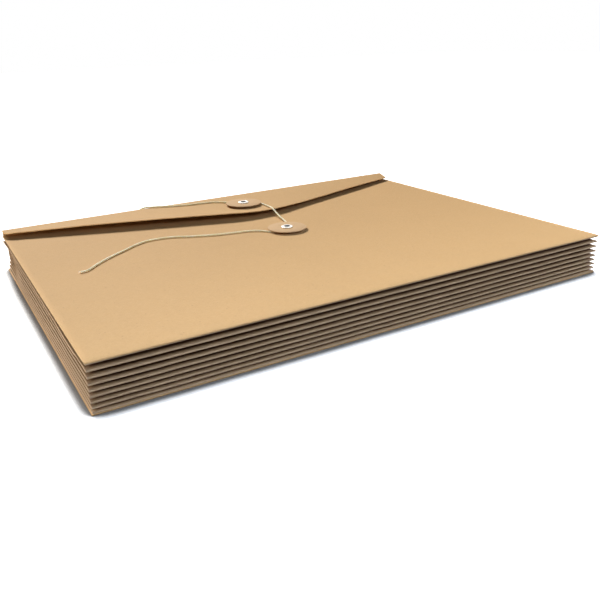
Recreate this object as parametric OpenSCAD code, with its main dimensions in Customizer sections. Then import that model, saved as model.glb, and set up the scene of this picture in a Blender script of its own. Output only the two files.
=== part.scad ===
// Expanding document envelope in kraft card, closed and lying flat.
// Origin: centre of the underside of the back panel. X runs along the long side, Y towards the mouth, Z up.

/* [Panels] */
// Width along the long side
panel_w = 335; // [240:1:450]
// Depth from the closed long side to the mouth
panel_d = 240; // [200:1:330]
// Height of the closed stack, from its base to the top of the front panel
stack_h = 26; // [20:0.5:40]
// Thickness of the card of both panels and of the flap
card_t = 0.6; // [0.4:0.1:0.8]
// How far the front panel stops short of the mouth
mouth_setback = 2; // [1:0.5:10]

/* [Gusset] */
// Outward folds between the two panels
ridge_count = 7; // [3:1:8]
// Depth of each inward fold
pleat_depth = 12; // [8:0.5:20]
// Thickness of the gusset paper
gusset_t = 0.3; // [0.2:0.05:0.4]
// How much less each pleat opens than the one above it
pleat_settle = 0.13; // [0:0.01:0.15]
// How far the outward folds lie inside the edges of the panels
ridge_inset = 0.4; // [0:0.1:2]
// Share of the pleat depth that is left at the two closed corners
corner_share = 0.25; // [0.15:0.05:1]
// Length over which the pleats tuck in towards a closed corner
corner_run = 26; // [22:1:40]
// How far the pleats draw in sideways at the mouth
mouth_pull = 2; // [0:0.5:4]
// Length over which they draw in
mouth_run = 60; // [20:5:100]
// Gap between the end of the gusset and the spine
gusset_gap = 1.4; // [1:0.1:5]

/* [Spine and flap] */
// Gap between the front panel and the underside of the flap
flap_lift = 3.7; // [3.4:0.1:8]
// Depth of the flap at its two sides
flap_side = 13; // [8:1:30]
// Depth at which the two straight edges of the flap would meet
flap_tip = 69; // [56:1:90]
// Radius of the round point of the flap
flap_tip_r = 80; // [40:5:90]
// Radius of the two small corners of the flap
flap_corner_r = 5; // [1:0.5:7]
// How far the flap is narrower than the panels at each side
flap_inset = 0.5; // [0:0.1:2]
// How far the spine is narrower than the panels at each side
spine_inset = 2; // [0.5:0.5:6]
// Inside radius of the fold between the back panel and the spine
spine_bend_r = 0.6; // [0.3:0.1:1]
// Inside radius of the fold between the spine and the flap
flap_bend_r = 0.9; // [0.3:0.1:1.5]

/* [Closure] */
// Place of both buttons to the right of the middle
closure_x = 6.5; // [-20:0.5:20]
// Distance from the mouth to the button on the flap
flap_button_in = 38; // [30:0.5:38.5]
// Distance from the mouth to the button on the front panel
panel_button_in = 107.5; // [100:0.5:130]
// Diameter of the buttons
button_d = 27.4; // [16:0.2:30]
// Thickness of the buttons
button_t = 0.6; // [0.4:0.1:1]
// Room under each button for the string
button_gap = 1.4; // [1.4:0.1:2]
// Bore of the eyelets
eyelet_bore = 3.8; // [3:0.1:4]
// Outside diameter of the barrel of the eyelets
eyelet_barrel_d = 4.8; // [4.6:0.1:5]
// Diameter of the head of the eyelets
eyelet_head_d = 8; // [7:0.1:9]
// Height of the head of the eyelets
eyelet_head_h = 0.7; // [0.5:0.1:1]
// Diameter of the clinched ring on the hidden side
eyelet_ring_d = 7.2; // [6.5:0.1:9]
// Height of the clinched ring
eyelet_ring_h = 0.4; // [0.3:0.1:0.8]
// Clearance of the punched holes round the barrels
hole_gap = 0.05; // [0.02:0.01:0.2]
// Thickness of the string
string_d = 1.2; // [0.8:0.1:1.2]

/* [Hidden] */
round_fn = 64;
arc_steps = 12;

half_w = panel_w / 2;
mouth_y = panel_d / 2;
panel_under = stack_h - card_t;
flap_under = stack_h + flap_lift;
flap_top = flap_under + card_t;
flap_button_y = mouth_y - flap_button_in;
panel_button_y = mouth_y - panel_button_in;
hole_d = eyelet_barrel_d + 2 * hole_gap;

kraft = [0.84, 0.69, 0.51];
kraft_shade = [0.72, 0.58, 0.43];
nickel = [0.82, 0.81, 0.79];
cotton = [0.95, 0.90, 0.80];

// Outward folds, counted from the top: the first lies under the front panel, the last on the back panel
gap_count = ridge_count + 1;
first_ridge_z = panel_under - gusset_t;
last_ridge_z = card_t + gusset_t;
mean_gap = (first_ridge_z - last_ridge_z) / gap_count;

// Route of the string, from the end that hangs behind the spine to the end that lies on the front panel
string_route = [
    [-70, 121.4, 9], [-71, 121.2, 18], [-69, 121.1, 26], [-63, 120.4, 30.4], [-55, 117, 31],
    [-46, 112, 31], [-37, 108, 31], [-28, 105.2, 31], [-19, 104, 31], [-11, 102.4, 31],
    [-4, 97.4, 31], [2, 90, 31], [8, 85.4, 31], [14.6, 81.6, 31], [18.4, 76, 31],
    [19, 67, 31], [18, 55.6, 31], [16.8, 43, 28.2], [15, 30, 26.8], [12.6, 20.6, 26.7],
    [10.6, 13.6, 26.7], [8.4, 9.4, 26.7], [4, 8, 26.7], [-2, 8.8, 26.7], [-7, 12, 26.7],
    [-12, 19, 26.7], [-19, 22.8, 26.7], [-28, 24.8, 26.7], [-38, 26.8, 26.7], [-48, 30, 26.7],
    [-58, 34.4, 26.7], [-67, 39.4, 26.7], [-76, 41.6, 26.7], [-85, 41.4, 26.7], [-94, 37.4, 26.7],
    [-104, 30, 26.7], [-116, 20.8, 26.7], [-127, 11, 26.7], [-135, 2.2, 26.7], [-140, 1, 26.7]
];
string_sides = 8;
// Direction that the string never runs in, from which the corners of its section are set out
string_up = [-0.5, 0.5, 0.7];

// Height of outward fold i: the gaps shrink by the same step from the top down
function ridge_z(i) =
    first_ridge_z - i * mean_gap - pleat_settle * (i * (gap_count - 1) / 2 - i * (i - 1) / 2);
function valley_z(i) = (ridge_z(i) + ridge_z(i + 1)) / 2;

// Section of the gusset as [distance inwards, height]: along its outer face down, along its inner face back up.
// Each fold is two layers thick and has a narrow blunt nose; its crease lies a little further in.
nose = 0.4 * gusset_t;
crease = 1.5 * gusset_t;
function ridge_nose(z) = [
    [gusset_t, z + gusset_t], [0, z + nose], [0, z - nose], [gusset_t, z - gusset_t]
];
function valley_nose(z) = [
    [pleat_depth - gusset_t, z - gusset_t], [pleat_depth, z - nose],
    [pleat_depth, z + nose], [pleat_depth - gusset_t, z + gusset_t]
];
function outer_face() = [
    [pleat_depth, first_ridge_z + gusset_t],
    for (i = [0 : gap_count]) each [
        each ridge_nose(ridge_z(i)),
        if (i < gap_count) [pleat_depth - crease, valley_z(i)]
    ],
    [pleat_depth, last_ridge_z - gusset_t]
];
function inner_face() = [
    [pleat_depth, last_ridge_z],
    for (i = [gap_count : -1 : 0]) each [
        [crease, ridge_z(i)],
        if (i > 0) each valley_nose(valley_z(i - 1))
    ],
    [pleat_depth, first_ridge_z]
];

// The gusset runs round three sides; each station places the section's point p there
gusset_x = half_w - ridge_inset;
gusset_y = -mouth_y + ridge_inset;
gusset_end_y = mouth_y - card_t - gusset_gap;
function draw_in(z) = mouth_pull * sin(180 * (z - last_ridge_z) / (first_ridge_z - last_ridge_z));
function left_station(n, p) =
    n == 0 ? [-gusset_x + p[0] + draw_in(p[1]), gusset_end_y, p[1]] :
    n == 1 ? [-gusset_x + p[0], gusset_end_y - mouth_run, p[1]] :
    n == 2 ? [-gusset_x + p[0], gusset_y + corner_run, p[1]] :
    n == 3 ? [-gusset_x + corner_share * p[0], gusset_y + corner_share * p[0], p[1]] :
    [-gusset_x + corner_run, gusset_y + p[0], p[1]];
function flipped(p) = [-p[0], p[1], p[2]];
side_steps = 3;
last_station = 3 * side_steps;
function station(n, p) =
    n < 5 ? left_station(n, p) : flipped(left_station(last_station - n, p));

// A hairline parts the strip at its two corner folds, so that each side is a slim solid of its own: how far
// the first and the last station of each side are moved for it
corner_slit = 0.02;
slit_back = [0, corner_slit / 2, 0];
slit_in = [corner_slit / 2, 0, 0];
no_shift = [0, 0, 0];
side_shifts = [[no_shift, slit_back], [slit_in, -slit_in], [slit_back, no_shift]];

// Two triangles between points i and j of one station, which begin at number start, and the next station's.
// Both faces of a wall take the same diagonal: from the outward fold at a corner to the inward fold beside it.
function wall_pair(start, i, j, section, from_corner) =
    let (count = len(section))
    let (a = start + i, b = start + j, c = a + count, d = b + count)
    let (outward_first = section[i][0] < section[j][0])
    outward_first != from_corner
        ? [[b, a, c], [b, c, d]]
        : [[b, a, d], [a, c, d]];

// Faces over the flat end of a side, which follow the ribbon of paper from leaf to leaf: the section's points
// at that end have the numbers first to last
fold_points = 5;
function end_faces(first, last) = [
    [first, first + 1, last - 1, last],
    for (i = [0 : gap_count])
        let (a = first + 1 + fold_points * i, c = last - 1 - fold_points * i)
        each [
            [a, a + 1, c], [a + 1, a + 2, c], [a + 2, a + 3, c], [a + 3, a + 4, c - 1, c],
            if (i < gap_count) each [
                [a + 4, c - 2, c - 1], [a + 4, c - 3, c - 2], [a + 4, c - 4, c - 3],
                [a + 4, a + 5, c - 5, c - 4]
            ]
        ]
];
function reversed(list) = [for (i = [len(list) - 1 : -1 : 0]) list[i]];

// Points of an arc about centre c, with both ends
function arc(c, r, from, to) = [
    for (s = [0 : arc_steps]) let (a = from + (to - from) * s / arc_steps)
        c + r * [cos(a), sin(a)]
];

// Corner q of an outline, rounded to radius r between its neighbours p and n
function rounded(p, q, n, r) =
    let (
        u = (p - q) / norm(p - q), v = (n - q) / norm(n - q),
        half = acos(u * v) / 2,
        mid = (u + v) / norm(u + v),
        c = q + mid * r / sin(half),
        s = q + u * r / tan(half) - c, e = q + v * r / tan(half) - c,
        a = atan2(s[1], s[0]), b = atan2(e[1], e[0]),
        turn = b - a > 180 ? b - a - 360 : b - a < -180 ? b - a + 360 : b - a
    )
    arc(c, r, a, a + turn);

// Smooth line through the route: each stretch halved on a curve through its neighbours
function smooth(p) = [
    for (i = [0 : len(p) - 2]) each [
        p[i],
        (9 * (p[i] + p[i + 1]) - p[max(i - 1, 0)] - p[min(i + 2, len(p) - 1)]) / 16
    ],
    p[len(p) - 1]
];
function along(p, i) =
    let (t = p[min(i + 1, len(p) - 1)] - p[max(i - 1, 0)])
    t / norm(t);
function ring(p, i, r) =
    let (
        t = along(p, i),
        side = cross(t, string_up),
        u = side / norm(side), v = cross(u, t)
    )
    [for (k = [0 : string_sides - 1]) let (a = 360 * k / string_sides)
        p[i] + r * (cos(a) * u + sin(a) * v)];

// Back panel, spine and flap: one die-cut sheet, folded twice
module cover_sheet() {
    color(kraft)
    difference() {
        union() {
            translate([-half_w, -mouth_y, 0])
                cube([panel_w, panel_d - card_t - spine_bend_r, card_t]);
            translate([-half_w + spine_inset, 0, 0])
                rotate([90, 0, 90])
                    linear_extrude(panel_w - 2 * spine_inset) spine_section();
            translate([0, 0, flap_under])
                linear_extrude(card_t) flap_outline();
        }
        translate([closure_x, flap_button_y, flap_under - card_t])
            cylinder(d = hole_d, h = 3 * card_t, $fn = round_fn);
    }
}

// Section of the spine with its two folds, which run on a little way into the flat parts of the sheet
module spine_section() {
    lap = 2 * card_t;
    low = [mouth_y - card_t - spine_bend_r, card_t + spine_bend_r];
    high = [mouth_y - card_t - flap_bend_r, flap_under - flap_bend_r];
    polygon([
        [low[0] - lap, 0],
        each arc(low, spine_bend_r + card_t, -90, 0),
        each arc(high, flap_bend_r + card_t, 0, 90),
        [high[0] - lap, flap_top],
        [high[0] - lap, flap_under],
        each arc(high, flap_bend_r, 90, 0),
        each arc(low, spine_bend_r, 0, -90),
        [low[0] - lap, card_t]
    ]);
}

// Plan of the flap from its fold forwards: a blunt point over the buttons, between two straight edges
module flap_outline() {
    fold_y = mouth_y - card_t - flap_bend_r;
    left_x = -half_w + flap_inset;
    right_x = half_w - flap_inset;
    left = [left_x, mouth_y - flap_side];
    right = [right_x, mouth_y - flap_side];
    tip = [closure_x, mouth_y - flap_tip];
    polygon([
        [right_x, fold_y],
        [left_x, fold_y],
        each rounded([left_x, fold_y], left, tip, flap_corner_r),
        each rounded(left, tip, right, flap_tip_r),
        each rounded(tip, right, [right_x, fold_y], flap_corner_r)
    ]);
}

// Front panel: a plain sheet, open along the mouth
module front_panel() {
    color(kraft)
    difference() {
        translate([-half_w, -mouth_y, panel_under])
            cube([panel_w, panel_d - mouth_setback, card_t]);
        translate([closure_x, panel_button_y, panel_under - card_t])
            cylinder(d = hole_d, h = 3 * card_t, $fn = round_fn);
    }
}

// Pleated gusset: one strip round three sides, its outer leaves glued to the two panels
module gusset() {
    section = concat(outer_face(), inner_face());
    count = len(section);
    side_points = (side_steps + 1) * count;
    color(kraft_shade)
    polyhedron(
        points = [
            for (side = [0 : 2]) for (n = [0 : side_steps]) for (p = section)
                station(side * side_steps + n, p)
                    + (n == 0 ? side_shifts[side][0] : n == side_steps ? side_shifts[side][1] : no_shift)
        ],
        faces = [
            for (side = [0 : 2]) let (start = side * side_points) each [
                for (n = [0 : side_steps - 1]) for (i = [0 : count - 1])
                    each wall_pair(start + n * count, i, (i + 1) % count, section, side > 0 && n == 0),
                each end_faces(start, start + count - 1),
                for (face = end_faces(start + side_steps * count, start + side_points - 1)) reversed(face)
            ]
        ]
    );
}

// Card disc that the string is wound behind; base is the height of the sheet it is fixed to
module button(y, base) {
    color(kraft)
    translate([closure_x, y, base + button_gap])
        difference() {
            cylinder(d = button_d, h = button_t, $fn = 2 * round_fn);
            translate([0, 0, -button_t])
                cylinder(d = hole_d, h = 3 * button_t, $fn = round_fn);
        }
}
module flap_button() { button(flap_button_y, flap_top); }
module panel_button() { button(panel_button_y, stack_h); }

// Tubular eyelet: clinched ring under the sheet, barrel through sheet and button, rolled head on the button
module eyelet(y, base) {
    head_z = card_t + button_gap + button_t;
    head_r = eyelet_head_d / 2;
    barrel_r = eyelet_barrel_d / 2;
    bore_r = eyelet_bore / 2;
    lip_r = eyelet_head_h / 2;
    flare_r = eyelet_head_h;
    color(nickel)
    translate([closure_x, y, base - card_t])
        rotate_extrude($fn = round_fn)
            polygon([
                [bore_r, -eyelet_ring_h],
                [eyelet_ring_d / 2, -eyelet_ring_h],
                [eyelet_ring_d / 2, 0],
                [barrel_r, 0],
                [barrel_r, head_z],
                [head_r, head_z],
                each arc([head_r - lip_r, head_z + lip_r], lip_r, 0, 90),
                each arc([bore_r + flare_r, head_z], flare_r, 90, 180)
            ]);
}
module flap_eyelet() { eyelet(flap_button_y, flap_top); }
module panel_eyelet() { eyelet(panel_button_y, stack_h); }

// Cotton string, wound behind both buttons, with both ends free
module string() {
    line = smooth(string_route);
    rings = len(line);
    last = (rings - 1) * string_sides;
    color(cotton)
    polyhedron(
        points = [for (i = [0 : rings - 1]) each ring(line, i, string_d / 2)],
        faces = [
            for (i = [0 : rings - 2]) for (k = [0 : string_sides - 1])
                let (
                    a = i * string_sides + k, b = i * string_sides + (k + 1) % string_sides,
                    c = a + string_sides, d = b + string_sides
                )
                each [[a, b, d], [a, d, c]],
            [for (k = [string_sides - 1 : -1 : 0]) k],
            [for (k = [0 : string_sides - 1]) last + k]
        ]
    );
}

cover_sheet();
front_panel();
gusset();
flap_button();
panel_button();
flap_eyelet();
panel_eyelet();
string();
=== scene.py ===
import math
import bpy
import numpy as np
from mathutils import Matrix, Vector, noise


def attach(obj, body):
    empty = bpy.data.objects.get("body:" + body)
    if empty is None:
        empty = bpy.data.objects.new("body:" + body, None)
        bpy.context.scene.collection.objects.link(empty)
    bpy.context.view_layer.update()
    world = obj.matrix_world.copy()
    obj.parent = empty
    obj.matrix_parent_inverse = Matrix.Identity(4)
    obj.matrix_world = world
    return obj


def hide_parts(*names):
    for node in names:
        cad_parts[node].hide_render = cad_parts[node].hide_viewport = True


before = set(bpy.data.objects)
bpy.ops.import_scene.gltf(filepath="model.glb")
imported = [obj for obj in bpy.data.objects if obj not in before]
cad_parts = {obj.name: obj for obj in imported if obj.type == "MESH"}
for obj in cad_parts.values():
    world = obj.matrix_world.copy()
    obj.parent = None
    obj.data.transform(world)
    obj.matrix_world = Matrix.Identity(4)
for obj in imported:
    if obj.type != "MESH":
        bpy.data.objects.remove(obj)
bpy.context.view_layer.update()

MM = 0.001

# Sizes in millimetres, as the frame has them
PANEL_W, PANEL_D, STACK_H, CARD = 335.0, 240.0, 26.0, 0.6
HALF_W, MOUTH = PANEL_W / 2, PANEL_D / 2
PANEL_EDGE = MOUTH - 2.0
PANEL_UNDER = STACK_H - CARD
FLAP_MID, SPINE_MID = 30.0, 20.0
SPINE_HALF, FLAP_HALF = HALF_W - 2.4, HALF_W - 0.5
CLOSURE_X, FLAP_BUTTON_Y, PANEL_BUTTON_Y = 6.5, 82.0, 12.5
BUTTON_R, BUTTON_T, BUTTON_GAP = 13.7, 0.6, 1.4
BORE_R, BARREL_R, HEAD_R, HEAD_H, RING_R, RING_H = 1.9, 2.4, 4.0, 0.7, 3.6, 0.4
STRING_D = 1.2


# Small helpers
def smoothstep(x, a, b):
    t = np.clip((np.asarray(x, float) - a) / (b - a), 0.0, 1.0)
    return t * t * (3 - 2 * t)


def wave(x, y, z, size, seed):
    """Smooth noise from -1 to 1 at a point in millimetres, with blobs of about that size."""
    return noise.noise(Vector((x / size + seed * 7.31, y / size - seed * 3.17, z / size + seed * 1.93)))


def make_object(name, verts_mm, faces, smooth=True):
    mesh = bpy.data.meshes.new(name)
    mesh.from_pydata([tuple(v) for v in np.asarray(verts_mm, float) * MM], [], faces)
    mesh.validate()
    mesh.update()
    if smooth:
        mesh.polygons.foreach_set("use_smooth", [True] * len(mesh.polygons))
    obj = bpy.data.objects.new(name, mesh)
    bpy.context.scene.collection.objects.link(obj)
    return obj


def bake_modifiers(obj):
    """Replaces the mesh by what its modifiers make of it."""
    graph = bpy.context.evaluated_depsgraph_get()
    mesh = bpy.data.meshes.new_from_object(obj.evaluated_get(graph), depsgraph=graph)
    old = obj.data
    obj.modifiers.clear()
    obj.data = mesh
    mesh.name = obj.name
    bpy.data.meshes.remove(old)


def tube(rings):
    """Points and faces of a tube through rings of equal size, closed round and at both ends."""
    rings = np.asarray(rings)
    n, m = rings.shape[:2]
    faces = []
    for i in range(n - 1):
        for k in range(m):
            a, b = i * m + k, i * m + (k + 1) % m
            faces.append((a, b, b + m, a + m))
    faces.append(tuple(range(m - 1, -1, -1)))
    faces.append(tuple((n - 1) * m + k for k in range(m)))
    return rings.reshape(-1, 3), faces


def lathe(name, profile, centre, steps=72):
    """Closed profile of (radius, height) turned about the vertical through centre."""
    verts, faces = [], []
    m = len(profile)
    for i in range(steps):
        a = 2 * math.pi * i / steps
        for r, z in profile:
            verts.append((centre[0] + r * math.cos(a), centre[1] + r * math.sin(a), centre[2] + z))
    for i in range(steps):
        j = (i + 1) % steps
        for k in range(m):
            up = (k + 1) % m
            faces.append((i * m + k, i * m + up, j * m + up, j * m + k))
    return make_object(name, verts, faces)


def arc(cx, cz, r, a0, a1, n):
    """Points of an arc between two angles in degrees."""
    return [(cx + r * math.cos(math.radians(a0 + (a1 - a0) * i / n)),
             cz + r * math.sin(math.radians(a0 + (a1 - a0) * i / n))) for i in range(n + 1)]


def punch(obj, x, y, radius, low, high, sides=48):
    """A round hole straight down through a sheet."""
    turns = [2 * math.pi * k / sides for k in range(sides)]
    rings = [[(x + radius * math.cos(a), y + radius * math.sin(a), z) for a in turns] for z in (low, high)]
    verts, faces = tube(rings)
    cutter = make_object(obj.name + "_cutter", verts, faces)
    mod = obj.modifiers.new("hole", "BOOLEAN")
    mod.operation = "DIFFERENCE"
    mod.solver = "EXACT"
    mod.object = cutter
    bake_modifiers(obj)
    bpy.data.objects.remove(cutter)


# Camera
AZIMUTH, ELEVATION, ROLL = math.radians(-29.91), math.radians(21.64), math.radians(-1.62)
FOCUS, DISTANCE = Vector((-0.0218, -0.0521, 0.0)), 0.4122
FOCAL_PX, FRAME_PX, SENSOR = 662.1, 600.0, 36.0

back = Vector((math.sin(AZIMUTH) * math.cos(ELEVATION), -math.cos(AZIMUTH) * math.cos(ELEVATION),
               math.sin(ELEVATION)))
level = Vector((0, 0, 1)).cross(back).normalized()
above = back.cross(level)
right = math.cos(ROLL) * level + math.sin(ROLL) * above
upward = -math.sin(ROLL) * level + math.cos(ROLL) * above

camera_data = bpy.data.cameras.new("camera")
camera_data.sensor_width = SENSOR
camera_data.sensor_fit = "HORIZONTAL"
camera_data.lens = SENSOR * FOCAL_PX / FRAME_PX
camera_data.clip_start = 0.01
camera = bpy.data.objects.new("camera", camera_data)
bpy.context.scene.collection.objects.link(camera)
turn = Matrix((right, upward, back)).transposed()
camera.matrix_world = Matrix.Translation(FOCUS + DISTANCE * back) @ turn.to_4x4()
bpy.context.scene.camera = camera


# Plan of the flap: straight edges to a blunt point over the buttons, with small round corners
FLAP_SIDE_Y, FLAP_TIP_Y = MOUTH - 13.0, MOUTH - 69.0
FLAP_TIP_R, FLAP_CORNER_R = 80.0, 6.5
FOLD_Y, FOLD_R = 118.5, 1.2
BEND_Y, BEND_R = 118.8, 0.9


def rounded(p, q, n, r, steps):
    """Points of an arc of radius r that rounds the corner at q between p and n."""
    p, q, n = (np.array(v, float) for v in (p, q, n))
    u = (p - q) / np.linalg.norm(p - q)
    v = (n - q) / np.linalg.norm(n - q)
    half = math.acos(float(u @ v)) / 2
    centre = q + (u + v) / np.linalg.norm(u + v) * r / math.sin(half)
    a = q + u * r / math.tan(half) - centre
    b = q + v * r / math.tan(half) - centre
    t0, t1 = math.atan2(a[1], a[0]), math.atan2(b[1], b[0])
    t1 += -2 * math.pi if t1 - t0 > math.pi else 2 * math.pi if t1 - t0 < -math.pi else 0
    turns = [t0 + (t1 - t0) * i / steps for i in range(steps + 1)]
    return [centre + r * np.array([math.cos(t), math.sin(t)]) for t in turns]


flap_left, flap_right = (-FLAP_HALF, FLAP_SIDE_Y), (FLAP_HALF, FLAP_SIDE_Y)
flap_tip = (CLOSURE_X, FLAP_TIP_Y)
flap_edge = np.array(
    rounded((-FLAP_HALF, FOLD_Y), flap_left, flap_tip, FLAP_CORNER_R, 12)
    + rounded(flap_left, flap_tip, flap_right, FLAP_TIP_R, 40)
    + rounded(flap_tip, flap_right, (FLAP_HALF, FOLD_Y), FLAP_CORNER_R, 12))

# How far the flap's free edge lies above the plain lie, as (x, height), and the same at its fold's ends
FREE_EDGE = [
    (-167, -0.35), (-160, 0.0), (-150, 0.15), (-138, 0.55), (-123, 1.0), (-105, 1.4), (-85, 1.55),
    (-65, 1.7), (-40, 1.56), (-15, 1.48), (-2, 1.14), (8, 0.55), (20, 0.23), (32, -0.15),
    (44, -0.55), (56, -0.85), (80, -0.85), (106, -0.7), (135, -0.9), (158, -1.4), (167, -1.6)]
EDGE_X, EDGE_DZ = zip(*FREE_EDGE)
FOLD_DZ = (-0.6, 0.45)

# The flap keeps its plain lie within the first of these distances from its button, and warps beyond it
BUTTON_CALM = (12.0, 34.0)


def flap_depth(x):
    """Plan distance from the fold to the free edge at x."""
    return FOLD_Y - np.interp(x, flap_edge[:, 0], flap_edge[:, 1])


def fold_lift(x):
    """How much higher than its plain lie the flap's fold is at x."""
    return FOLD_DZ[0] + (FOLD_DZ[1] - FOLD_DZ[0]) * (x + HALF_W) / PANEL_W


def flap_lift(x, y):
    """How much higher than its plain lie the flap is at a point; nothing at its button."""
    w = np.clip((FOLD_Y - y) / flap_depth(x), 0, 1) ** 1.3
    lift = (1 - w) * fold_lift(x) + w * np.interp(x, EDGE_X, EDGE_DZ)
    return lift * smoothstep(math.hypot(x - CLOSURE_X, y - FLAP_BUTTON_Y), *BUTTON_CALM)


# String: its middle line in millimetres, from the tail behind the spine to the free end on the panel
ROUTE = [
    (-70, 121.4, 9), (-71, 121.2, 18), (-69, 121.1, 26), (-63, 120.4, 30.4), (-55, 117, 31),
    (-46, 112, 31), (-37, 108, 31), (-28, 105.2, 31), (-19, 104, 31), (-11, 102.4, 31),
    (-4, 97.4, 31), (2, 90, 31), (8, 85.4, 31), (14.6, 81.6, 31), (18.4, 76, 31),
    (19, 67, 31), (18, 55.6, 31), (16.8, 43, 28.2), (15, 30, 26.8), (12.6, 20.6, 26.7),
    (10.6, 13.6, 26.7), (8.4, 9.4, 26.7), (4, 8, 26.7), (-2, 8.8, 26.7), (-7, 12, 26.7),
    (-12, 19, 26.7), (-19, 22.8, 26.7), (-28, 24.8, 26.7), (-38, 26.8, 26.7), (-48, 30, 26.7),
    (-58, 34.4, 26.7), (-67, 39.4, 26.7), (-76, 41.6, 26.7), (-85, 41.4, 26.7), (-94, 37.4, 26.7),
    (-104, 30, 26.7), (-116, 20.8, 26.7), (-127, 11, 26.7), (-135, 2.2, 26.7), (-140, 1, 26.7)]
STRING_STEP = 0.28
PLIES, PLY_SIDES, TWIST = 3, 6, 3.6
PLY_GROOVE, PLY_ROUND, FUZZ = 0.20, 0.7, 0.012


def halved(points):
    """The same line with a point added on a smooth curve in each stretch."""
    p = np.asarray(points, float)
    out = []
    for i in range(len(p) - 1):
        out += [p[i], (9 * (p[i] + p[i + 1]) - p[max(i - 1, 0)] - p[min(i + 2, len(p) - 1)]) / 16]
    return np.array(out + [p[-1]])


def resampled(line, step):
    """The line in even steps, and the distance of each point along it."""
    d = np.concatenate([[0], np.cumsum(np.linalg.norm(np.diff(line, axis=0), axis=1))])
    s = np.linspace(0, d[-1], int(round(d[-1] / step)) + 1)
    return np.stack([np.interp(s, d, line[:, k]) for k in range(3)], axis=1), s


def frames(line):
    """Side vectors along a line that turn with it and never flip."""
    t = np.gradient(line, axis=0)
    t /= np.linalg.norm(t, axis=1)[:, None]
    side = np.cross(t[0], (0.3, 0.2, 0.93))
    sides = []
    for v in t:
        side = side - v * (side @ v)
        side = side / np.linalg.norm(side)
        sides.append(side)
    sides = np.array(sides)
    return sides, np.cross(t, sides)


string_line = halved(halved(halved(ROUTE[::-1])))
for point in string_line:
    on_flap = float(smoothstep(point[2], 29.4, 31.0))
    if point[1] < FOLD_Y and on_flap > 0:
        point[2] += on_flap * float(flap_lift(point[0], point[1]))
    elif point[1] >= FOLD_Y and point[2] > SPINE_MID:
        point[2] += float(fold_lift(point[0])) * float(smoothstep(point[2], SPINE_MID, 30.0))
string_line, string_s = resampled(string_line, STRING_STEP)
side_a, side_b = frames(string_line)
rings = []
count = PLIES * PLY_SIDES
for i, centre in enumerate(string_line):
    lay = 2 * math.pi * string_s[i] / TWIST
    ring = []
    for k in range(count):
        a = 2 * math.pi * k / count
        lobe = abs(math.cos(PLIES * (a - lay) / 2))
        fuzz = FUZZ * wave(string_s[i], 3 * math.cos(a), 3 * math.sin(a), 0.7, 5)
        r = STRING_D / 2 * (1 - PLY_GROOVE + PLY_GROOVE * lobe ** PLY_ROUND) + fuzz
        ring.append(centre + r * (math.cos(a) * side_a[i] + math.sin(a) * side_b[i]))
    rings.append(ring)
verts, faces = tube(rings)
yarn = make_object("string_yarn", verts, faces)
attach(yarn, "root")
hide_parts("string")


FIBRES, FIBRE_RADII, FIBRE_AT = 16, (0.09, 0.08, 0.06, 0.02), (0, 0.35, 0.7, 1.0)
FIBRE_SPREAD, FIBRE_ROOT, FIBRE_LEN = (0.05, 0.45), (0.1, 0.42), (0.8, 2.0)
THIRDS = (0, 2.09, 4.19)


def fray(name, end, along, seed):
    """Loose fibres at a cut end of the string."""
    rng = np.random.default_rng(seed)
    verts, faces = [], []
    for _ in range(FIBRES):
        a = rng.uniform(0, 2 * math.pi)
        u = np.cross(along, (0, 0, 1)) if abs(along[2]) < 0.8 else np.array([1.0, 0, 0])
        u /= np.linalg.norm(u)
        v = np.cross(u, along)
        spread = rng.uniform(*FIBRE_SPREAD)
        out = spread * (math.cos(a) * u + math.sin(a) * v)
        root = end - along * 0.3 + rng.uniform(*FIBRE_ROOT) * (math.cos(a) * u + math.sin(a) * v)
        length = rng.uniform(*FIBRE_LEN)
        pts = [root + along * length * t + out * length * t * t for t in FIBRE_AT]
        if end[2] > SPINE_MID:
            for p in pts:
                p[2] = max(p[2], STACK_H + 0.12)
        base = len(verts)
        for p, r in zip(pts, FIBRE_RADII):
            verts += [p + r * (math.cos(b) * u + math.sin(b) * v) for b in THIRDS]
        for i in range(3):
            for k in range(3):
                a0, b0 = base + 3 * i + k, base + 3 * i + (k + 1) % 3
                faces.append((a0, b0, b0 + 3, a0 + 3))
        faces.append((base + 2, base + 1, base))
        faces.append((base + 9, base + 10, base + 11))
    obj = make_object(name, verts, faces)
    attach(obj, "root")
    return obj


ends = [(string_line[0], string_line[0] - string_line[4]),
        (string_line[-1], string_line[-1] - string_line[-5])]
frays = [fray(f"string_fray_{i}", e, d / np.linalg.norm(d), 11 + i) for i, (e, d) in enumerate(ends)]


# Cover sheet: back panel, spine and flap. The spine's top takes this share of the flap's extra width
WIDENED = 0.8


def sheet_rows():
    """Rows along the sheet, from the near edge of the back to the free edge of the flap: (part, value)."""
    rows = [("back", -MOUTH + (BEND_Y + MOUTH) * i / 40) for i in range(40)]
    rows += [("bend", 90.0 * i / 6) for i in range(7)]
    low, high = BEND_R + CARD / 2, FLAP_MID - FOLD_R
    rows += [("spine", low + (high - low) * i / 12) for i in range(1, 12)]
    rows += [("fold", 90.0 * i / 6) for i in range(7)]
    rows += [("flap", (i / 36) ** 0.9) for i in range(1, 37)]
    return rows


ROWS = sheet_rows()
COLS = 132
col_t = np.linspace(-1, 1, COLS + 1)
col_t = np.sign(col_t) * (1 - (1 - np.abs(col_t)) ** 1.25)


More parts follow.
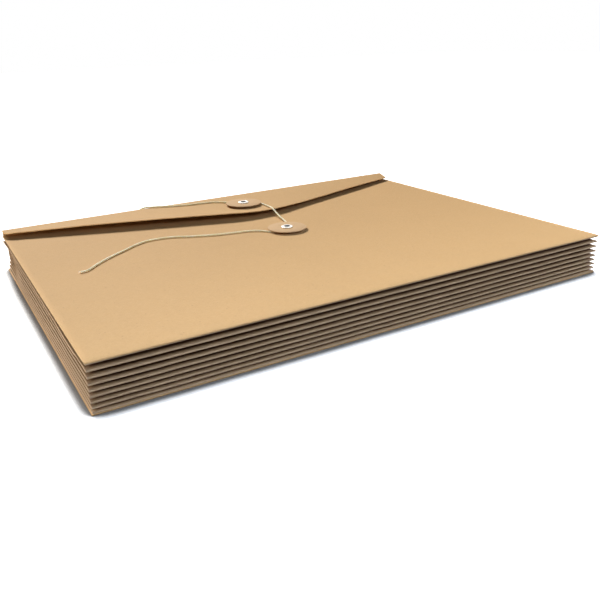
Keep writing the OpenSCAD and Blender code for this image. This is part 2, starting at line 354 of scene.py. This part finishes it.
def sheet_point(part, value, t):
    """The point of the cover sheet's middle surface at share t of its half width, on a row."""
    if part == "back":
        return (t * HALF_W, value, CARD / 2)
    if part == "bend":
        a = math.radians(value)
        half = HALF_W + (SPINE_HALF - HALF_W) * float(smoothstep(value, 0, 45))
        return (t * half, BEND_Y + BEND_R * math.sin(a), CARD / 2 + BEND_R * (1 - math.cos(a)))
    if part == "spine":
        x = t * (SPINE_HALF + (FLAP_HALF - SPINE_HALF) * WIDENED * float(smoothstep(value, 19, 27)))
        lift = fold_lift(x) * float(smoothstep(value, 3.0, 28.0))
        bow = 0.18 * wave(x, 0, value, 60, 2) * math.sin(math.pi * min(max((value - 1) / 28, 0), 1))
        return (x, BEND_Y + BEND_R + bow, value + lift)
    if part == "fold":
        a = math.radians(value)
        last = (1 - WIDENED) * float(smoothstep(value, 45, 90))
        half = SPINE_HALF + (FLAP_HALF - SPINE_HALF) * (WIDENED + last)
        x = t * half
        return (x, FOLD_Y + FOLD_R * math.cos(a), FLAP_MID - FOLD_R * (1 - math.sin(a)) + fold_lift(x))
    x = t * FLAP_HALF
    y = FOLD_Y - value * float(flap_depth(x))
    ripple = 0.10 * wave(x, y, 0, 42, 3) * float(smoothstep(FOLD_Y - y, 4, 20))
    ripple *= float(smoothstep(math.hypot(x - CLOSURE_X, y - FLAP_BUTTON_Y), 13, 30))
    return (x, y, FLAP_MID + float(flap_lift(x, y)) + ripple)


verts = [sheet_point(part, value, t) for part, value in ROWS for t in col_t]
wide = COLS + 1
faces = [(r * wide + c, (r + 1) * wide + c, (r + 1) * wide + c + 1, r * wide + c + 1)
         for r in range(len(ROWS) - 1) for c in range(COLS)]
cover = make_object("cover_card", verts, faces)


def thicken(obj, thickness, bevel):
    """Gives a sheet its thickness and bevels its edges."""
    solid = obj.modifiers.new("thickness", "SOLIDIFY")
    solid.thickness = thickness * MM
    solid.offset = 0.0
    solid.use_even_offset = True
    solid.material_offset_rim = 1
    edge = obj.modifiers.new("edge", "BEVEL")
    edge.limit_method = "ANGLE"
    edge.angle_limit = math.radians(50)
    edge.width = bevel * MM
    edge.segments = 2
    bake_modifiers(obj)


# Front panel
def panel_grid(name, x0, x1, y0, y1, z, nx, ny, corner):
    """A flat grid whose four corners are drawn in by a little."""
    verts = []
    for j in range(ny + 1):
        for i in range(nx + 1):
            x, y = x0 + (x1 - x0) * i / nx, y0 + (y1 - y0) * j / ny
            verts.append([x, y, z])
    for ci, cj, sx, sy in ((0, 0, 1, 1), (nx, 0, -1, 1), (0, ny, 1, -1), (nx, ny, -1, -1)):
        v = verts[cj * (nx + 1) + ci]
        v[0] += sx * corner
        v[1] += sy * corner
    faces = [(j * (nx + 1) + i, j * (nx + 1) + i + 1, (j + 1) * (nx + 1) + i + 1, (j + 1) * (nx + 1) + i)
             for j in range(ny) for i in range(nx)]
    return make_object(name, verts, faces)


panel = panel_grid("front_card", -HALF_W, HALF_W, -MOUTH, PANEL_EDGE, PANEL_UNDER + CARD / 2, 84, 60, 0.25)

# Gusset
PAPER, DEPTH, RIDGES, SETTLE, INSET = 0.3, 12.0, 7, 0.13, 0.4
SIDE_INSET, RIDGE_R, VALLEY_R = 0.4, 0.34, 0.26
CORNER_SHARE, CORNER_RUN = 0.45, 18.0
LEAF_AT, LEAF_BOW, GLUED_FROM = (0.05, 0.3, 0.7, 0.95), 0.16, 6.0

# On the short sides the pleats pull in towards the mouth, the first ridge stands out, most of all at the
# mouth, and the top leaf is set back
PULL, PULL_RUN, FIRST_OUT, FIRST_OUT_ALL, FIRST_SPAN = 2.0, 60.0, 1.4, 0.3, 1.6
TOP_BACK, TOP_BAND = 2.2, (1.3, 0.4)
GAPS = RIDGES + 1
TOP_Z, LOW_Z = PANEL_UNDER - PAPER, CARD + PAPER
MEAN_GAP = (TOP_Z - LOW_Z) / GAPS
GUSSET_X, GUSSET_Y, GUSSET_END = HALF_W - INSET, -MOUTH + INSET, MOUTH - CARD - 1.4


def ridge_z(i):
    """Height of a ridge, from 0 at the front panel down to GAPS at the back; the lower gaps are tighter."""
    return TOP_Z - i * MEAN_GAP - SETTLE * (i * (GAPS - 1) / 2 - i * (i - 1) / 2)


def pleat_section(s, tuck):
    """Outer and inner face of the folded strip at distance s along it, each a list of (inwards, height)."""
    live = 0.35 + 0.65 * tuck
    ridges, valleys = [], []
    for i in range(GAPS + 1):
        free = math.sin(math.pi * i / GAPS) ** 0.5 if 0 < i < GAPS else 0.0
        dz = free * live * (0.17 * wave(s, 9.1 * i, 0, 34, 1) + 0.10 * wave(s, 9.1 * i, 0, 9, 4))
        du = 0.30 * wave(s, 7.7 * i, 5, 40, 2) + 0.10 * wave(s, 7.7 * i, 5, 11, 6)
        if i in (0, GAPS):
            du *= 0.3
        ridges.append((max(du, -0.3) * live, ridge_z(i) + dz))
    for i in range(GAPS):
        dz = 0.12 * wave(s, 8.3 * i, 2, 30, 3)
        du = 0.5 * wave(s, 8.3 * i, 7, 36, 7)
        valleys.append((DEPTH + du, (ridges[i][1] + ridges[i + 1][1]) / 2 + dz))
    line = []
    for i in range(GAPS + 1):
        u, z = ridges[i]
        upper, lower = RIDGE_R, RIDGE_R
        if i == 0:
            line += [(DEPTH, TOP_Z + PAPER / 2), (GLUED_FROM, TOP_Z + PAPER / 2)]
            upper = PAPER / 2
        else:
            vu, vz = valleys[i - 1]
            for k in range(5):
                a = math.radians(90 - 45 * k)
                line.append((vu - VALLEY_R + VALLEY_R * math.cos(a), vz + VALLEY_R * math.sin(a)))
            x0, z0, x1, z1 = vu - VALLEY_R, vz - VALLEY_R, u + RIDGE_R, z + RIDGE_R
            if i < GAPS:
                for f in LEAF_AT:
                    bow = LEAF_BOW * math.sin(2 * math.pi * f)
                    line.append((x0 + (x1 - x0) * f, z0 + (z1 - z0) * f + bow))
        if i == GAPS:
            lower = PAPER / 2
        for k in range(5):
            a = math.radians(90 + 45 * k)
            h = upper if k < 2 else lower
            line.append((u + RIDGE_R + RIDGE_R * math.cos(a), z + h * math.sin(a)))
        if i == GAPS:
            line += [(GLUED_FROM, LOW_Z - PAPER / 2), (DEPTH, LOW_Z - PAPER / 2)]
        else:
            vu, vz = valleys[i]
            x0, z0, x1, z1 = u + RIDGE_R, z - RIDGE_R, vu - VALLEY_R, vz + VALLEY_R
            for f in LEAF_AT:
                bow = LEAF_BOW * math.sin(2 * math.pi * f)
                line.append((x0 + (x1 - x0) * f, z0 + (z1 - z0) * f - bow))
    line = np.array(line)
    t = np.gradient(line, axis=0)
    t /= np.linalg.norm(t, axis=1)[:, None]
    n = np.stack([t[:, 1], -t[:, 0]], axis=1)
    return line + n * PAPER / 2, line - n * PAPER / 2


def gusset_stations():
    """Along the strip: (distance, leg, share of the corner, place along the leg)."""
    side_len = GUSSET_END - (GUSSET_Y + CORNER_RUN)
    stretches = (("left", side_len, 56), ("left_in", CORNER_RUN, 16), ("left_out", CORNER_RUN, 16),
                 ("front", 2 * (GUSSET_X - CORNER_RUN), 76), ("right_in", CORNER_RUN, 16),
                 ("right_out", CORNER_RUN, 16), ("right", side_len, 56))
    out = []
    s = 0.0
    for leg, length, n in stretches:
        for i in range(n + 1 if leg == "right" else n):
            along = length * i / n
            share = i / n if leg.endswith("_in") else 1 - i / n if leg.endswith("_out") else 0.0
            at = {"left": GUSSET_END - along, "front": -GUSSET_X + CORNER_RUN + along,
                  "right": GUSSET_Y + CORNER_RUN + along}.get(leg, 0.0)
            out.append((s + along, leg, share, at))
        s += length
    return out


def place(leg, share, at, p):
    """Row-frame points of a section's (inwards, height) points at a station."""
    u, z = p[:, 0], p[:, 1]
    if leg in ("left", "right"):
        near = np.clip((at - (GUSSET_END - PULL_RUN)) / PULL_RUN, 0, 1)
        high = np.clip((z - LOW_Z) / (TOP_Z - LOW_Z), 0, 1)
        draw = PULL * near * np.sin(np.pi * high)
        draw = draw + SIDE_INSET * high ** 2 * np.clip((at - GUSSET_Y - CORNER_RUN) / PULL_RUN, 0, 1)
        draw -= (FIRST_OUT * near ** 2 + FIRST_OUT_ALL) * np.exp(-((z - ridge_z(1)) / FIRST_SPAN) ** 2)
        draw += TOP_BACK * smoothstep(z, TOP_Z - TOP_BAND[0], TOP_Z - TOP_BAND[1])
        x = -GUSSET_X + u + draw
        return np.stack([x if leg == "left" else -x, np.full_like(u, at), z], axis=1)
    if leg == "front":
        return np.stack([np.full_like(u, at), GUSSET_Y + u, z], axis=1)
    tip = CORNER_SHARE * u
    if leg in ("left_in", "right_out"):
        x = (1 - share) * u + share * tip
        y = (1 - share) * CORNER_RUN + share * tip
    else:
        x = (1 - share) * CORNER_RUN + share * tip
        y = (1 - share) * u + share * tip
    x = -GUSSET_X + x
    return np.stack([x if leg.startswith("left") else -x, GUSSET_Y + y, z], axis=1)


rings = []
for s, leg, share, at in gusset_stations():
    outer, inner = pleat_section(s, 1 - share)
    rings.append(place(leg, share, at, np.concatenate([outer, inner[::-1]])))
verts, faces = tube(rings)
bellows = make_object("gusset_paper", verts, faces)

# Buttons and eyelets
HOLE_R, DISC_ROUND = BARREL_R + 0.05, 0.14


def button(name, y, base):
    """A card disc, rounded at its rim and pressed down a little under the eyelet's head."""
    r, t, e, hole = BUTTON_R, BUTTON_T, DISC_ROUND, HOLE_R
    profile = [(hole, 0.04), (hole + 0.3, 0.0), (r - e, 0.0)]
    profile += arc(r - e, e, e, -90, 0, 3)[1:] + arc(r - e, t - e, e, 0, 90, 3)
    profile += [(HEAD_R + 2.2, t), (HEAD_R + 0.7, t - 0.02), (HEAD_R + 0.1, t - 0.06), (hole, t - 0.06)]
    return lathe(name, profile, (CLOSURE_X, y, base + BUTTON_GAP), 120)


def eyelet(name, y, base):
    """A hollow rivet with a ring under the sheet, a barrel and a rolled head over the button."""
    head_z = CARD + BUTTON_GAP + BUTTON_T
    lip, flare = HEAD_H / 2, 0.4
    profile = [(BORE_R, -RING_H + 0.1), (BORE_R + 0.15, -RING_H)]
    profile += arc(RING_R - 0.2, -0.2, 0.2, -90, 90, 6)
    profile += [(BARREL_R, 0.0), (BARREL_R, head_z - 0.06), (HEAD_R - 0.25, head_z - 0.06)]
    profile += arc(HEAD_R - lip, head_z + lip, lip, -50, 90, 8)
    profile += arc(BORE_R + flare, head_z + HEAD_H - flare, flare, 90, 180, 8)
    return lathe(name, profile, (CLOSURE_X, y, base - CARD), 96)


FLAP_TOP = FLAP_MID + CARD / 2
panel_disc = button("panel_disc", PANEL_BUTTON_Y, STACK_H)
flap_disc = button("flap_disc", FLAP_BUTTON_Y, FLAP_TOP)
panel_rivet = eyelet("panel_rivet", PANEL_BUTTON_Y, STACK_H)
flap_rivet = eyelet("flap_rivet", FLAP_BUTTON_Y, FLAP_TOP)


# Materials
class Nodes:
    """Short calls for building a material's nodes."""

    def __init__(self, name):
        self.mat = bpy.data.materials.new(name)
        self.mat.use_nodes = True
        self.tree = self.mat.node_tree
        self.tree.nodes.clear()
        self.out = self.tree.nodes.new("ShaderNodeOutputMaterial")

    def new(self, kind, **values):
        node = self.tree.nodes.new("ShaderNode" + kind)
        for key, value in values.items():
            setattr(node, key, value)
        return node

    def link(self, a, b):
        self.tree.links.new(a, b)

    def mapped(self, scale, rotation=(0, 0, 0), location=(0, 0, 0)):
        if not hasattr(self, "coords"):
            self.coords = self.new("TexCoord")
        m = self.new("Mapping")
        m.inputs["Scale"].default_value = [v / MM for v in scale]
        m.inputs["Rotation"].default_value = rotation
        m.inputs["Location"].default_value = location
        self.link(self.coords.outputs["Object"], m.inputs["Vector"])
        return m.outputs["Vector"]

    def noise(self, vector, detail=3.0, rough=0.55, distortion=0.0):
        n = self.new("TexNoise")
        n.inputs["Scale"].default_value = 1.0
        n.inputs["Detail"].default_value = detail
        n.inputs["Roughness"].default_value = rough
        n.inputs["Distortion"].default_value = distortion
        self.link(vector, n.inputs["Vector"])
        return n.outputs["Fac"]

    def ramp(self, fac, stops):
        n = self.new("ValToRGB")
        elements = n.color_ramp.elements
        while len(elements) < len(stops):
            elements.new(0.5)
        for element, (pos, value) in zip(elements, stops):
            element.position = pos
            element.color = (value, value, value, 1) if isinstance(value, (int, float)) else (*value, 1)
        self.link(fac, n.inputs["Fac"])
        return n.outputs["Color"]

    def math(self, op, a, b):
        n = self.new("Math", operation=op)
        for socket, value in zip(n.inputs, (a, b)):
            if isinstance(value, (int, float)):
                socket.default_value = value
            else:
                self.link(value, socket)
        return n.outputs[0]

    def mix(self, fac, a, b, blend="MIX"):
        n = self.new("Mix", data_type="RGBA", blend_type=blend)
        for socket, value in ((n.inputs["Factor"], fac), (n.inputs["A"], a), (n.inputs["B"], b)):
            if isinstance(value, (int, float)):
                socket.default_value = value
            elif isinstance(value, tuple):
                socket.default_value = (*value, 1)
            else:
                self.link(value, socket)
        return n.outputs["Result"]

    def bump(self, height, distance, before=None):
        n = self.new("Bump")
        n.inputs["Distance"].default_value = distance * MM
        n.inputs["Strength"].default_value = 1.0
        self.link(height, n.inputs["Height"])
        if before is not None:
            self.link(before, n.inputs["Normal"])
        return n.outputs["Normal"]

    def surface(self, color, roughness, normal, **constants):
        n = self.new("BsdfPrincipled")
        for socket, value in (("Base Color", color), ("Roughness", roughness)):
            if isinstance(value, tuple):
                n.inputs[socket].default_value = (*value, 1)
            elif isinstance(value, (int, float)):
                n.inputs[socket].default_value = value
            else:
                self.link(value, n.inputs[socket])
        if normal is not None:
            self.link(normal, n.inputs["Normal"])
        for key, value in constants.items():
            n.inputs[key.replace("_", " ")].default_value = value
        self.link(n.outputs["BSDF"], self.out.inputs["Surface"])
        return self.mat


def tinted(color, factors):
    return tuple(v * f for v, f in zip(color, factors))


def fibres(n, seed, width, length, low, high):
    """Sparse fibres lying in several directions in the sheet."""
    total = None
    for i, angle in enumerate((8, 52, 97, 149)):
        m = n.mapped((1 / length, 1 / width, 1 / width), (0, 0, math.radians(angle + 5 * seed)),
                     (13.1 * i + seed, 7.7 * i, 3.3 * seed))
        f = n.ramp(n.noise(m, 1.5, 0.5, 0.6), [(low, 0.0), (high, 1.0)])
        total = f if total is None else n.math("MAXIMUM", total, f)
    return total


HALF_RAMP = [(0.3, 0.0), (0.7, 1.0)]
# Painted shade: the factor that darkens the colour deep inside the gusset's folds
PAINTED_FOLD_SHADE = (0.25, 0.17, 0.11)


def fold_depth(n):
    """How deep in the gusset's folds a point lies: 0 at the ridges, 1 at the valleys."""
    axes = n.new("SeparateXYZ")
    n.link(n.mapped((1, 1, 1)), axes.inputs["Vector"])
    from_side = n.math("SUBTRACT", GUSSET_X, n.math("ABSOLUTE", axes.outputs["X"], 0.0))
    from_near = n.math("SUBTRACT", axes.outputs["Y"], GUSSET_Y)
    return n.math("DIVIDE", n.math("MINIMUM", from_side, from_near), DEPTH)


def kraft(name, tones, bump=1.0, rough=0.80, painted_ridge_light=None):
    """Kraft card or paper in four tones: the base, pale fibres, dark fibres and flecks.

    A ridge colour paints a highlight on the gusset's ridges, and the colour inside the folds is darkened as
    painted shade.
    """
    base, light, dark, fleck = tones
    n = Nodes(name)
    broad = n.ramp(n.noise(n.mapped((1 / 55, 1 / 55, 1 / 55)), 2.0), HALF_RAMP)
    cloud = n.ramp(n.noise(n.mapped((1 / 6, 1 / 9, 1 / 6)), 3.0), HALF_RAMP)
    grain = n.noise(n.mapped((1.6, 1.6, 1.6)), 4.0, 0.65)
    pale = fibres(n, 1, 0.16, 2.6, 0.60, 0.70)
    deep = fibres(n, 3, 0.14, 2.0, 0.63, 0.72)
    spots = n.ramp(n.noise(n.mapped((0.9, 0.9, 0.9)), 1.0), [(0.74, 0.0), (0.79, 1.0)])
    color = n.mix(broad, tinted(base, (0.975, 0.975, 0.975)), tinted(base, (1.02, 1.02, 1.02)))
    color = n.mix(n.math("MULTIPLY", cloud, 0.35), color, tinted(base, (1.05, 1.03, 0.98)))
    color = n.mix(n.math("MULTIPLY", n.ramp(grain, HALF_RAMP), 0.22), color, dark)
    color = n.mix(n.math("MULTIPLY", pale, 0.30), color, light)
    color = n.mix(n.math("MULTIPLY", deep, 0.34), color, dark)
    color = n.mix(n.math("MULTIPLY", spots, 0.45), color, fleck)
    if painted_ridge_light:
        # Painted light: a paler colour at the ridges as a painted highlight, and the colour multiplied down
        # inside the folds as painted shade
        depth = fold_depth(n)
        color = n.mix(n.math("MULTIPLY", n.ramp(depth, [(0.02, 1.0), (0.09, 0.0)]), 0.5), color, painted_ridge_light)
        color = n.mix(n.ramp(depth, [(0.06, 0.0), (0.28, 1.0)]), color, PAINTED_FOLD_SHADE, "MULTIPLY")
    height = n.math("ADD", n.math("MULTIPLY", grain, 0.5), n.math("MULTIPLY", pale, 0.6))
    height = n.math("SUBTRACT", height, n.math("MULTIPLY", deep, 0.3))
    normal = n.bump(height, 0.022 * bump)
    wavy = n.noise(n.mapped((1 / 9, 1 / 9, 1 / 9)), 1.0)
    normal = n.bump(wavy, 0.12 * bump, normal)
    roughness = n.math("ADD", rough - 0.06, n.math("MULTIPLY", grain, 0.14))
    return n.surface(color, roughness, normal, IOR=1.45, Specular_IOR_Level=0.22)


def cut_edge(name, base):
    """The sheared edge of the card, in fine layers."""
    n = Nodes(name)
    layers = n.noise(n.mapped((0.25, 0.25, 7.0)), 3.0, 0.6)
    grain = n.noise(n.mapped((3.0, 3.0, 3.0)), 3.0, 0.6)
    color = n.mix(n.ramp(layers, [(0.35, 0.0), (0.65, 1.0)]), tinted(base, (0.86, 0.86, 0.86)), base)
    color = n.mix(n.math("MULTIPLY", n.ramp(grain, [(0.4, 0.0), (0.7, 1.0)]), 0.4), color,
                  tinted(base, (1.15, 1.15, 1.15)))
    normal = n.bump(n.math("ADD", layers, grain), 0.03)
    return n.surface(color, 0.9, normal, IOR=1.45, Specular_IOR_Level=0.25)


CARD_TONES = ((0.62, 0.383, 0.173), (0.74, 0.51, 0.28), (0.46, 0.27, 0.11), (0.20, 0.11, 0.05))
PAPER_TONES = ((0.38, 0.24, 0.13), (0.49, 0.33, 0.20), (0.25, 0.15, 0.075), (0.15, 0.08, 0.04))
DISC_TONES = ((0.63, 0.41, 0.22), (0.74, 0.53, 0.32), (0.47, 0.29, 0.14), (0.22, 0.12, 0.06))
CARD_MAT = kraft("kraft_card", CARD_TONES)
# The gusset's paper, with a painted highlight on its ridges and painted shade inside its folds
PAPER_MAT = kraft("kraft_paper", PAPER_TONES, 0.8, 0.78, (0.46, 0.33, 0.22))
DISC_MAT = kraft("kraft_board", DISC_TONES, 0.9, 0.78)
EDGE_MAT = cut_edge("card_edge", (0.47, 0.33, 0.21))
# Painted shade: a much darker edge colour for the card's side edges and the back panel's outer edges
SHADED_EDGE_MAT = cut_edge("card_edge_painted_shade", (0.26, 0.165, 0.085))


def nickel():
    """The plated, lightly worn outside of the eyelets."""
    n = Nodes("nickel")
    brush = n.noise(n.mapped((5.0, 5.0, 5.0)), 3.0, 0.6)
    worn = n.noise(n.mapped((0.8, 0.8, 0.8)), 2.0)
    color = n.mix(worn, (0.80, 0.77, 0.72), (0.86, 0.84, 0.80))
    rough = n.math("ADD", 0.22, n.math("MULTIPLY", worn, 0.16))
    return n.surface(color, rough, n.bump(brush, 0.004), Metallic=1.0)


def cotton():
    """Soft string that lets a little light through."""
    n = Nodes("cotton")
    fine = n.noise(n.mapped((6.0, 6.0, 6.0)), 4.0, 0.7)
    soft = n.noise(n.mapped((0.12, 0.12, 0.12)), 2.0)
    color = n.mix(n.ramp(fine, HALF_RAMP), (1.0, 0.78, 0.47), (1.0, 0.87, 0.60))
    color = n.mix(n.math("MULTIPLY", soft, 0.3), color, (1.0, 0.81, 0.50))
    return n.surface(color, 0.88, n.bump(fine, 0.03), IOR=1.45, Specular_IOR_Level=0.25,
                     Subsurface_Weight=1.0, Subsurface_Radius=(1.0, 1.0, 1.0), Subsurface_Scale=0.002)


def bore_painted_shade():
    """The inside of the eyelets' barrels, coloured near black as painted shade."""
    n = Nodes("bore_painted_shade")
    stain = n.noise(n.mapped((1.5, 1.5, 1.5)), 3.0)
    color = n.mix(stain, (0.05, 0.04, 0.03), (0.12, 0.09, 0.07))
    return n.surface(color, 0.8, n.bump(stain, 0.01), IOR=1.3, Specular_IOR_Level=0.1)


NICKEL, COTTON, BORE_SHADE_MAT = nickel(), cotton(), bore_painted_shade()


def finish_piece(obj, node, materials, angle=40):
    """Gives a piece its materials and sharp edges and, with a node, puts it in that CAD node's place."""
    obj.data.materials.clear()
    for material in materials:
        obj.data.materials.append(material)
    obj.data.set_sharp_from_angle(angle=math.radians(angle))
    if node:
        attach(obj, "root")
        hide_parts(node)


FACES_SIDEWAYS, CARD_BEVEL, BORE_SHADE_RIM = 0.6, 0.11, 0.28
for sheet in (cover, panel):
    sheet.data.materials.append(CARD_MAT)
    sheet.data.materials.append(EDGE_MAT)
    thicken(sheet, CARD, CARD_BEVEL)
punch(panel, CLOSURE_X, PANEL_BUTTON_Y, HOLE_R, 20, 30)
punch(cover, CLOSURE_X, FLAP_BUTTON_Y, HOLE_R, 28, 32)
finish_piece(cover, "cover_sheet", [CARD_MAT, EDGE_MAT, SHADED_EDGE_MAT])
# Painted shade: the back panel's outer edges take the darker edge colour
for face in cover.data.polygons:
    if abs(face.normal.z) < FACES_SIDEWAYS and face.center.z < (CARD + 0.1) * MM:
        face.material_index = 2
finish_piece(panel, "front_panel", [CARD_MAT, EDGE_MAT, SHADED_EDGE_MAT])
# Painted shade: the front panel's side edges take the darker edge colour
for face in panel.data.polygons:
    if abs(face.normal.x) > FACES_SIDEWAYS and abs(face.center.x) > (HALF_W - 0.5) * MM:
        face.material_index = 2
finish_piece(bellows, "gusset", [PAPER_MAT], 50)
finish_piece(panel_disc, "panel_button", [DISC_MAT])
finish_piece(flap_disc, "flap_button", [DISC_MAT])
for rivet, node, rivet_y in ((panel_rivet, "panel_eyelet", PANEL_BUTTON_Y),
                             (flap_rivet, "flap_eyelet", FLAP_BUTTON_Y)):
    finish_piece(rivet, node, [NICKEL, BORE_SHADE_MAT])
    # Painted shade: faces near the bore take the near-black bore material
    for face in rivet.data.polygons:
        away = math.hypot(face.center.x - CLOSURE_X * MM, face.center.y - rivet_y * MM)
        face.material_index = 1 if away < (BORE_R + BORE_SHADE_RIM) * MM else 0
for obj in [yarn] + frays:
    finish_piece(obj, None, [COTTON])

# Floor, a hair above the underside, so that the underside shows from below
FLOOR_Z, FLOOR_R = 0.02, 4000
floor_corners = [(i * FLOOR_R, j * FLOOR_R, FLOOR_Z) for i, j in ((-1, -1), (1, -1), (1, 1), (-1, 1))]
floor = make_object("floor", floor_corners, [(0, 1, 2, 3)], smooth=False)
f = Nodes("floor")
paper_white = f.new("BsdfDiffuse")
paper_white.inputs["Color"].default_value = (0.30, 0.30, 0.30, 1)
# Painted shadow: the lamps' real shadow on the floor is deepened by ambient occlusion, which darkens the
# floor's seen colour and its glow near the object
shut_in = f.new("AmbientOcclusion", samples=16)
shut_in.inputs["Distance"].default_value = 0.012
painted_contact_shadow = f.ramp(shut_in.outputs["AO"], [(0.64, 0.0), (0.90, 1.0)])
seen_white = f.new("BsdfDiffuse")
f.link(f.mix(painted_contact_shadow, (0.22, 0.21, 0.20), (1.0, 1.0, 1.0)), seen_white.inputs["Color"])
place_on_floor = f.new("TexCoord")
from_middle = f.new("VectorMath", operation="LENGTH")
f.link(place_on_floor.outputs["Object"], from_middle.inputs[0])
far = f.new("MapRange", interpolation_type="SMOOTHSTEP")
f.link(from_middle.outputs["Value"], far.inputs["Value"])
for end, value in (("From Min", 0.30), ("From Max", 1.10), ("To Min", 0.80), ("To Max", 1.0)):
    far.inputs[end].default_value = value
glow = f.new("Emission")
f.link(f.math("MULTIPLY", far.outputs["Result"], painted_contact_shadow), glow.inputs["Strength"])
add = f.new("AddShader")
f.link(seen_white.outputs[0], add.inputs[0])
f.link(glow.outputs[0], add.inputs[1])
path = f.new("LightPath")
either = f.math("MAXIMUM", path.outputs["Is Glossy Ray"], path.outputs["Is Transmission Ray"])
seen = f.math("MAXIMUM", path.outputs["Is Camera Ray"], either)
both = f.new("MixShader")
f.link(seen, both.inputs[0])
f.link(paper_white.outputs[0], both.inputs[1])
f.link(add.outputs[0], both.inputs[2])
f.link(both.outputs[0], f.out.inputs["Surface"])
floor.data.materials.append(f.mat)

# World: faint for the object's light, and white where it is seen or mirrored
world = bpy.data.worlds.new("world")
bpy.context.scene.world = world
world.use_nodes = True
tree = world.node_tree
tree.nodes.clear()
world_out = tree.nodes.new("ShaderNodeOutputWorld")
plain = tree.nodes.new("ShaderNodeBackground")
plain.inputs["Color"].default_value = (0.80, 0.90, 1, 1)
plain.inputs["Strength"].default_value = 0.03
bright = tree.nodes.new("ShaderNodeBackground")
bright.inputs["Color"].default_value = (1, 1, 1, 1)
bright.inputs["Strength"].default_value = 1.0
rays = tree.nodes.new("ShaderNodeLightPath")
either = tree.nodes.new("ShaderNodeMath")
either.operation = "MAXIMUM"
any_of_three = tree.nodes.new("ShaderNodeMath")
any_of_three.operation = "MAXIMUM"
blend = tree.nodes.new("ShaderNodeMixShader")
for start_socket, end_socket in (
        (rays.outputs["Is Camera Ray"], either.inputs[0]),
        (rays.outputs["Is Glossy Ray"], either.inputs[1]),
        (either.outputs[0], any_of_three.inputs[0]),
        (rays.outputs["Is Transmission Ray"], any_of_three.inputs[1]),
        (any_of_three.outputs[0], blend.inputs[0]),
        (plain.outputs[0], blend.inputs[1]),
        (bright.outputs[0], blend.inputs[2]),
        (blend.outputs[0], world_out.inputs["Surface"])):
    tree.links.new(start_socket, end_socket)


def softbox(name, azimuth, elevation, distance, size, watts, tint, aim=(0, 0, 0), spread=180):
    """A rectangular light aimed at a point. Azimuth is from +Y towards +X, in degrees."""
    data = bpy.data.lights.new(name, "AREA")
    data.shape = "RECTANGLE"
    data.size, data.size_y = size
    data.energy = watts
    data.spread = math.radians(spread)
    data.color = tint
    obj = bpy.data.objects.new(name, data)
    bpy.context.scene.collection.objects.link(obj)
    a, e = math.radians(azimuth), math.radians(elevation)
    towards = Vector((math.sin(a) * math.cos(e), math.cos(a) * math.cos(e), math.sin(e)))
    obj.location = Vector(aim) + towards * distance
    obj.rotation_euler = towards.to_track_quat("Z", "Y").to_euler()
    obj.visible_camera = False
    return obj


WARM, WARMER, SKY = (1.0, 0.985, 0.955), (1.0, 0.96, 0.90), (0.72, 0.84, 1.0)
BIG_BOX, FRONT_STRIP, SIDE_STRIP = (1.2, 1.2), (0.6, 0.1), (0.5, 0.028)
BIG_AWAY, STRIP_AWAY = 5.0, 0.40
LEFT_END, RIGHT_END, NEAR_END = (-HALF_W * MM, 0, 0.015), (HALF_W * MM, 0, 0.015), (0.03, -0.12, 0.0)
softbox("key", 0, 37, BIG_AWAY, BIG_BOX, 338, WARM)
softbox("front", 180, 45, STRIP_AWAY, FRONT_STRIP, 0.31, SKY, NEAR_END, 50)
softbox("side", -92, 0, STRIP_AWAY, SIDE_STRIP, 1.9, WARMER, LEFT_END, 150)
softbox("other_side", 92, 0, STRIP_AWAY, SIDE_STRIP, 1.5, WARMER, RIGHT_END, 150)
softbox("below", 180, -60, BIG_AWAY, BIG_BOX, 240, WARM)

scene = bpy.context.scene
scene.view_settings.view_transform = "Standard"
